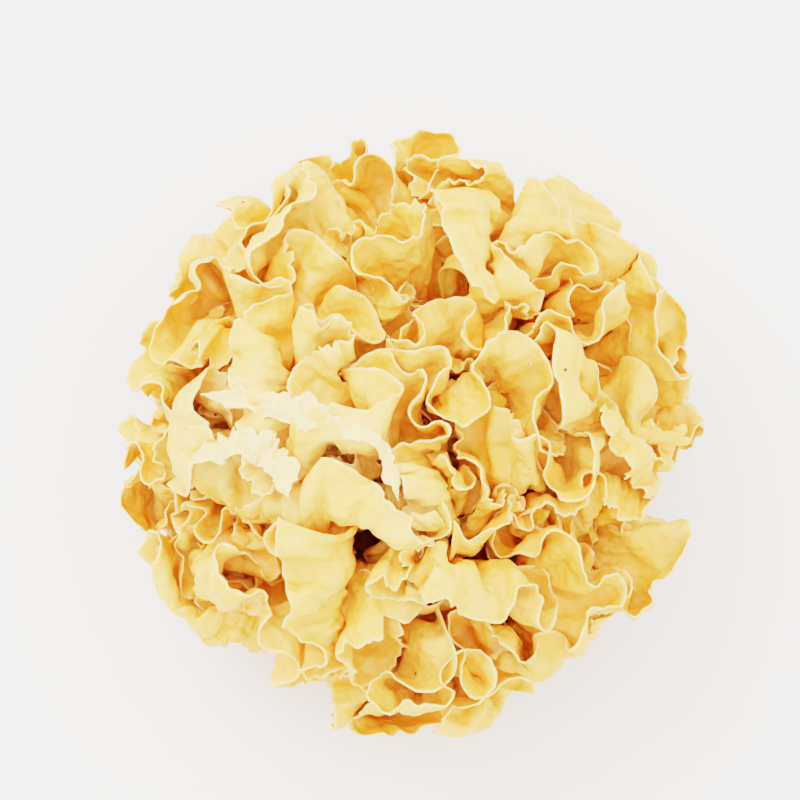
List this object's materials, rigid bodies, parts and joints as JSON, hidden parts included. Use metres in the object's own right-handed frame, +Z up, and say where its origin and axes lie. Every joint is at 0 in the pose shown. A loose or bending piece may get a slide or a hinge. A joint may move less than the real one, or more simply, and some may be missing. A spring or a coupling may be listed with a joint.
{
  "type": "dried snow fungus",
  "caption": "Dried snow fungus head: a dense dome of thin, ruffled, pale yellow fronds that grow from a rounded base, cut off flat so that it rests on a table.",
  "frame": {"origin": "centre of the flat cut under the base, on the surface it rests on", "axes": "+Z up out of the cut, -Y towards the viewer of the picture, +X to the viewer's right"},
  "size_m": [0.1223, 0.1274, 0.0782],
  "materials": {
    "base": "hard dried fungus tissue, dull amber brown, darker on the cut face",
    "frond": "thin dried jelly membrane, satin and translucent: orange amber towards the foot, pale yellow above, cream along the margins"
  },
  "bodies": {
    "root": {"base": "base", "frond_01": "frond", "frond_02": "frond", "frond_03": "frond", "frond_04": "frond", "frond_05": "frond", "frond_06": "frond", "frond_07": "frond", "frond_08": "frond", "frond_09": "frond", "frond_10": "frond", "frond_11": "frond", "frond_12": "frond", "frond_13": "frond", "frond_14": "frond", "frond_15": "frond", "frond_16": "frond", "frond_17": "frond", "frond_18": "frond", "frond_19": "frond", "frond_20": "frond", "frond_21": "frond", "frond_22": "frond", "frond_23": "frond", "frond_24": "frond", "frond_25": "frond", "frond_26": "frond", "frond_27": "frond", "frond_28": "frond"}
  },
  "joints": []
}
